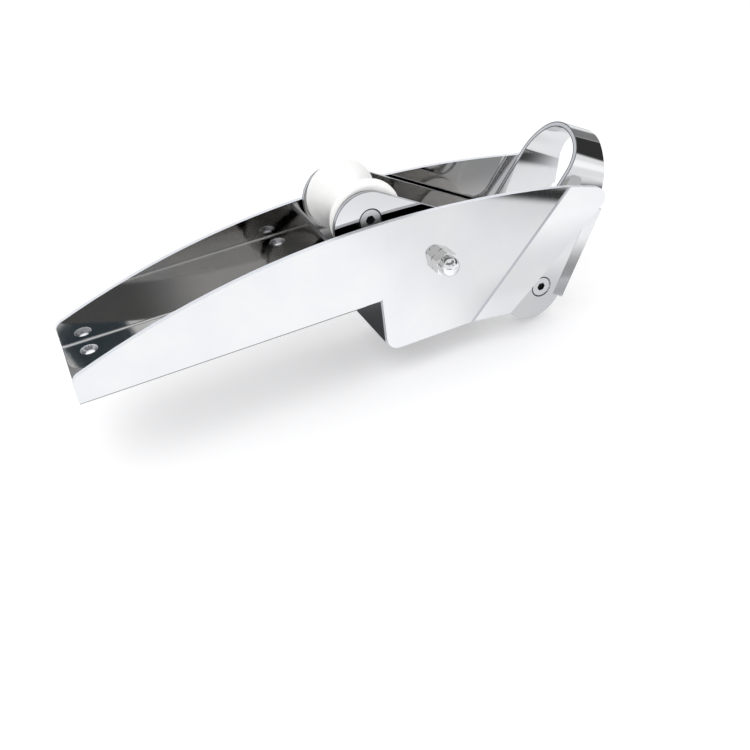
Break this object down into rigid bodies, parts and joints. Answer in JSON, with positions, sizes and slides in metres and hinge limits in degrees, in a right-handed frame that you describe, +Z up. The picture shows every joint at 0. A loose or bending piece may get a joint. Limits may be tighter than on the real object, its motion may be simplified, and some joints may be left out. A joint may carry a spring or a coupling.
{
  "type": "bow anchor roller",
  "caption": "Bent-steel trough for a boat's bow with a tilting rocker: two spool rollers under a hoop guide an anchor shank over the bow.",
  "frame": {"origin": "middle of the deck hole pattern, on the underside of the channel floor", "axes": "+X outboard over the bow, +Y to port, +Z up; the rocker is tipped down on its stop at rest"},
  "size_m": [0.3309, 0.085, 0.1227],
  "materials": {
    "polished_stainless": "mirror-polished stainless sheet",
    "fastener_steel": "turned and polished stainless fasteners",
    "bare_stainless": "machined stainless tube and bar",
    "roller_nylon": "turned white nylon"
  },
  "bodies": {
    "base": {"channel": "polished_stainless", "step_plate": "polished_stainless", "stop_bar": "bare_stainless", "pivot_bolt": "fastener_steel", "bolt_washer_port": "fastener_steel", "bolt_washer_starboard": "fastener_steel", "lock_nut": "fastener_steel", "dome_nut": "fastener_steel", "wall_spacer_port": "roller_nylon", "wall_spacer_starboard": "roller_nylon"},
    "rocker": {"rocker_frame": "polished_stainless", "pivot_sleeve": "bare_stainless", "rear_axle": "bare_stainless", "front_axle": "bare_stainless", "rear_screw_port": "fastener_steel", "rear_screw_starboard": "fastener_steel", "front_screw_port": "fastener_steel", "front_screw_starboard": "fastener_steel"},
    "rear_wheel": {"rear_roller": "roller_nylon"},
    "front_wheel": {"front_roller": "roller_nylon"}
  },
  "joints": [
    {"name": "rocker_tilt", "type": "hinge", "parent": "base", "child": "rocker", "pos_m": [0.1308, 0, 0.0152], "axis": [0, -1, 0], "range_deg": [0, 29]},
    {"name": "rear_roller_spin", "type": "hinge", "parent": "rocker", "child": "rear_wheel", "pos_m": [0.0934, 0, 0.049], "axis": [0, 1, 0], "continuous": true},
    {"name": "front_roller_spin", "type": "hinge", "parent": "rocker", "child": "front_wheel", "pos_m": [0.201, 0, -0.0304], "axis": [0, 1, 0], "continuous": true}
  ]
}
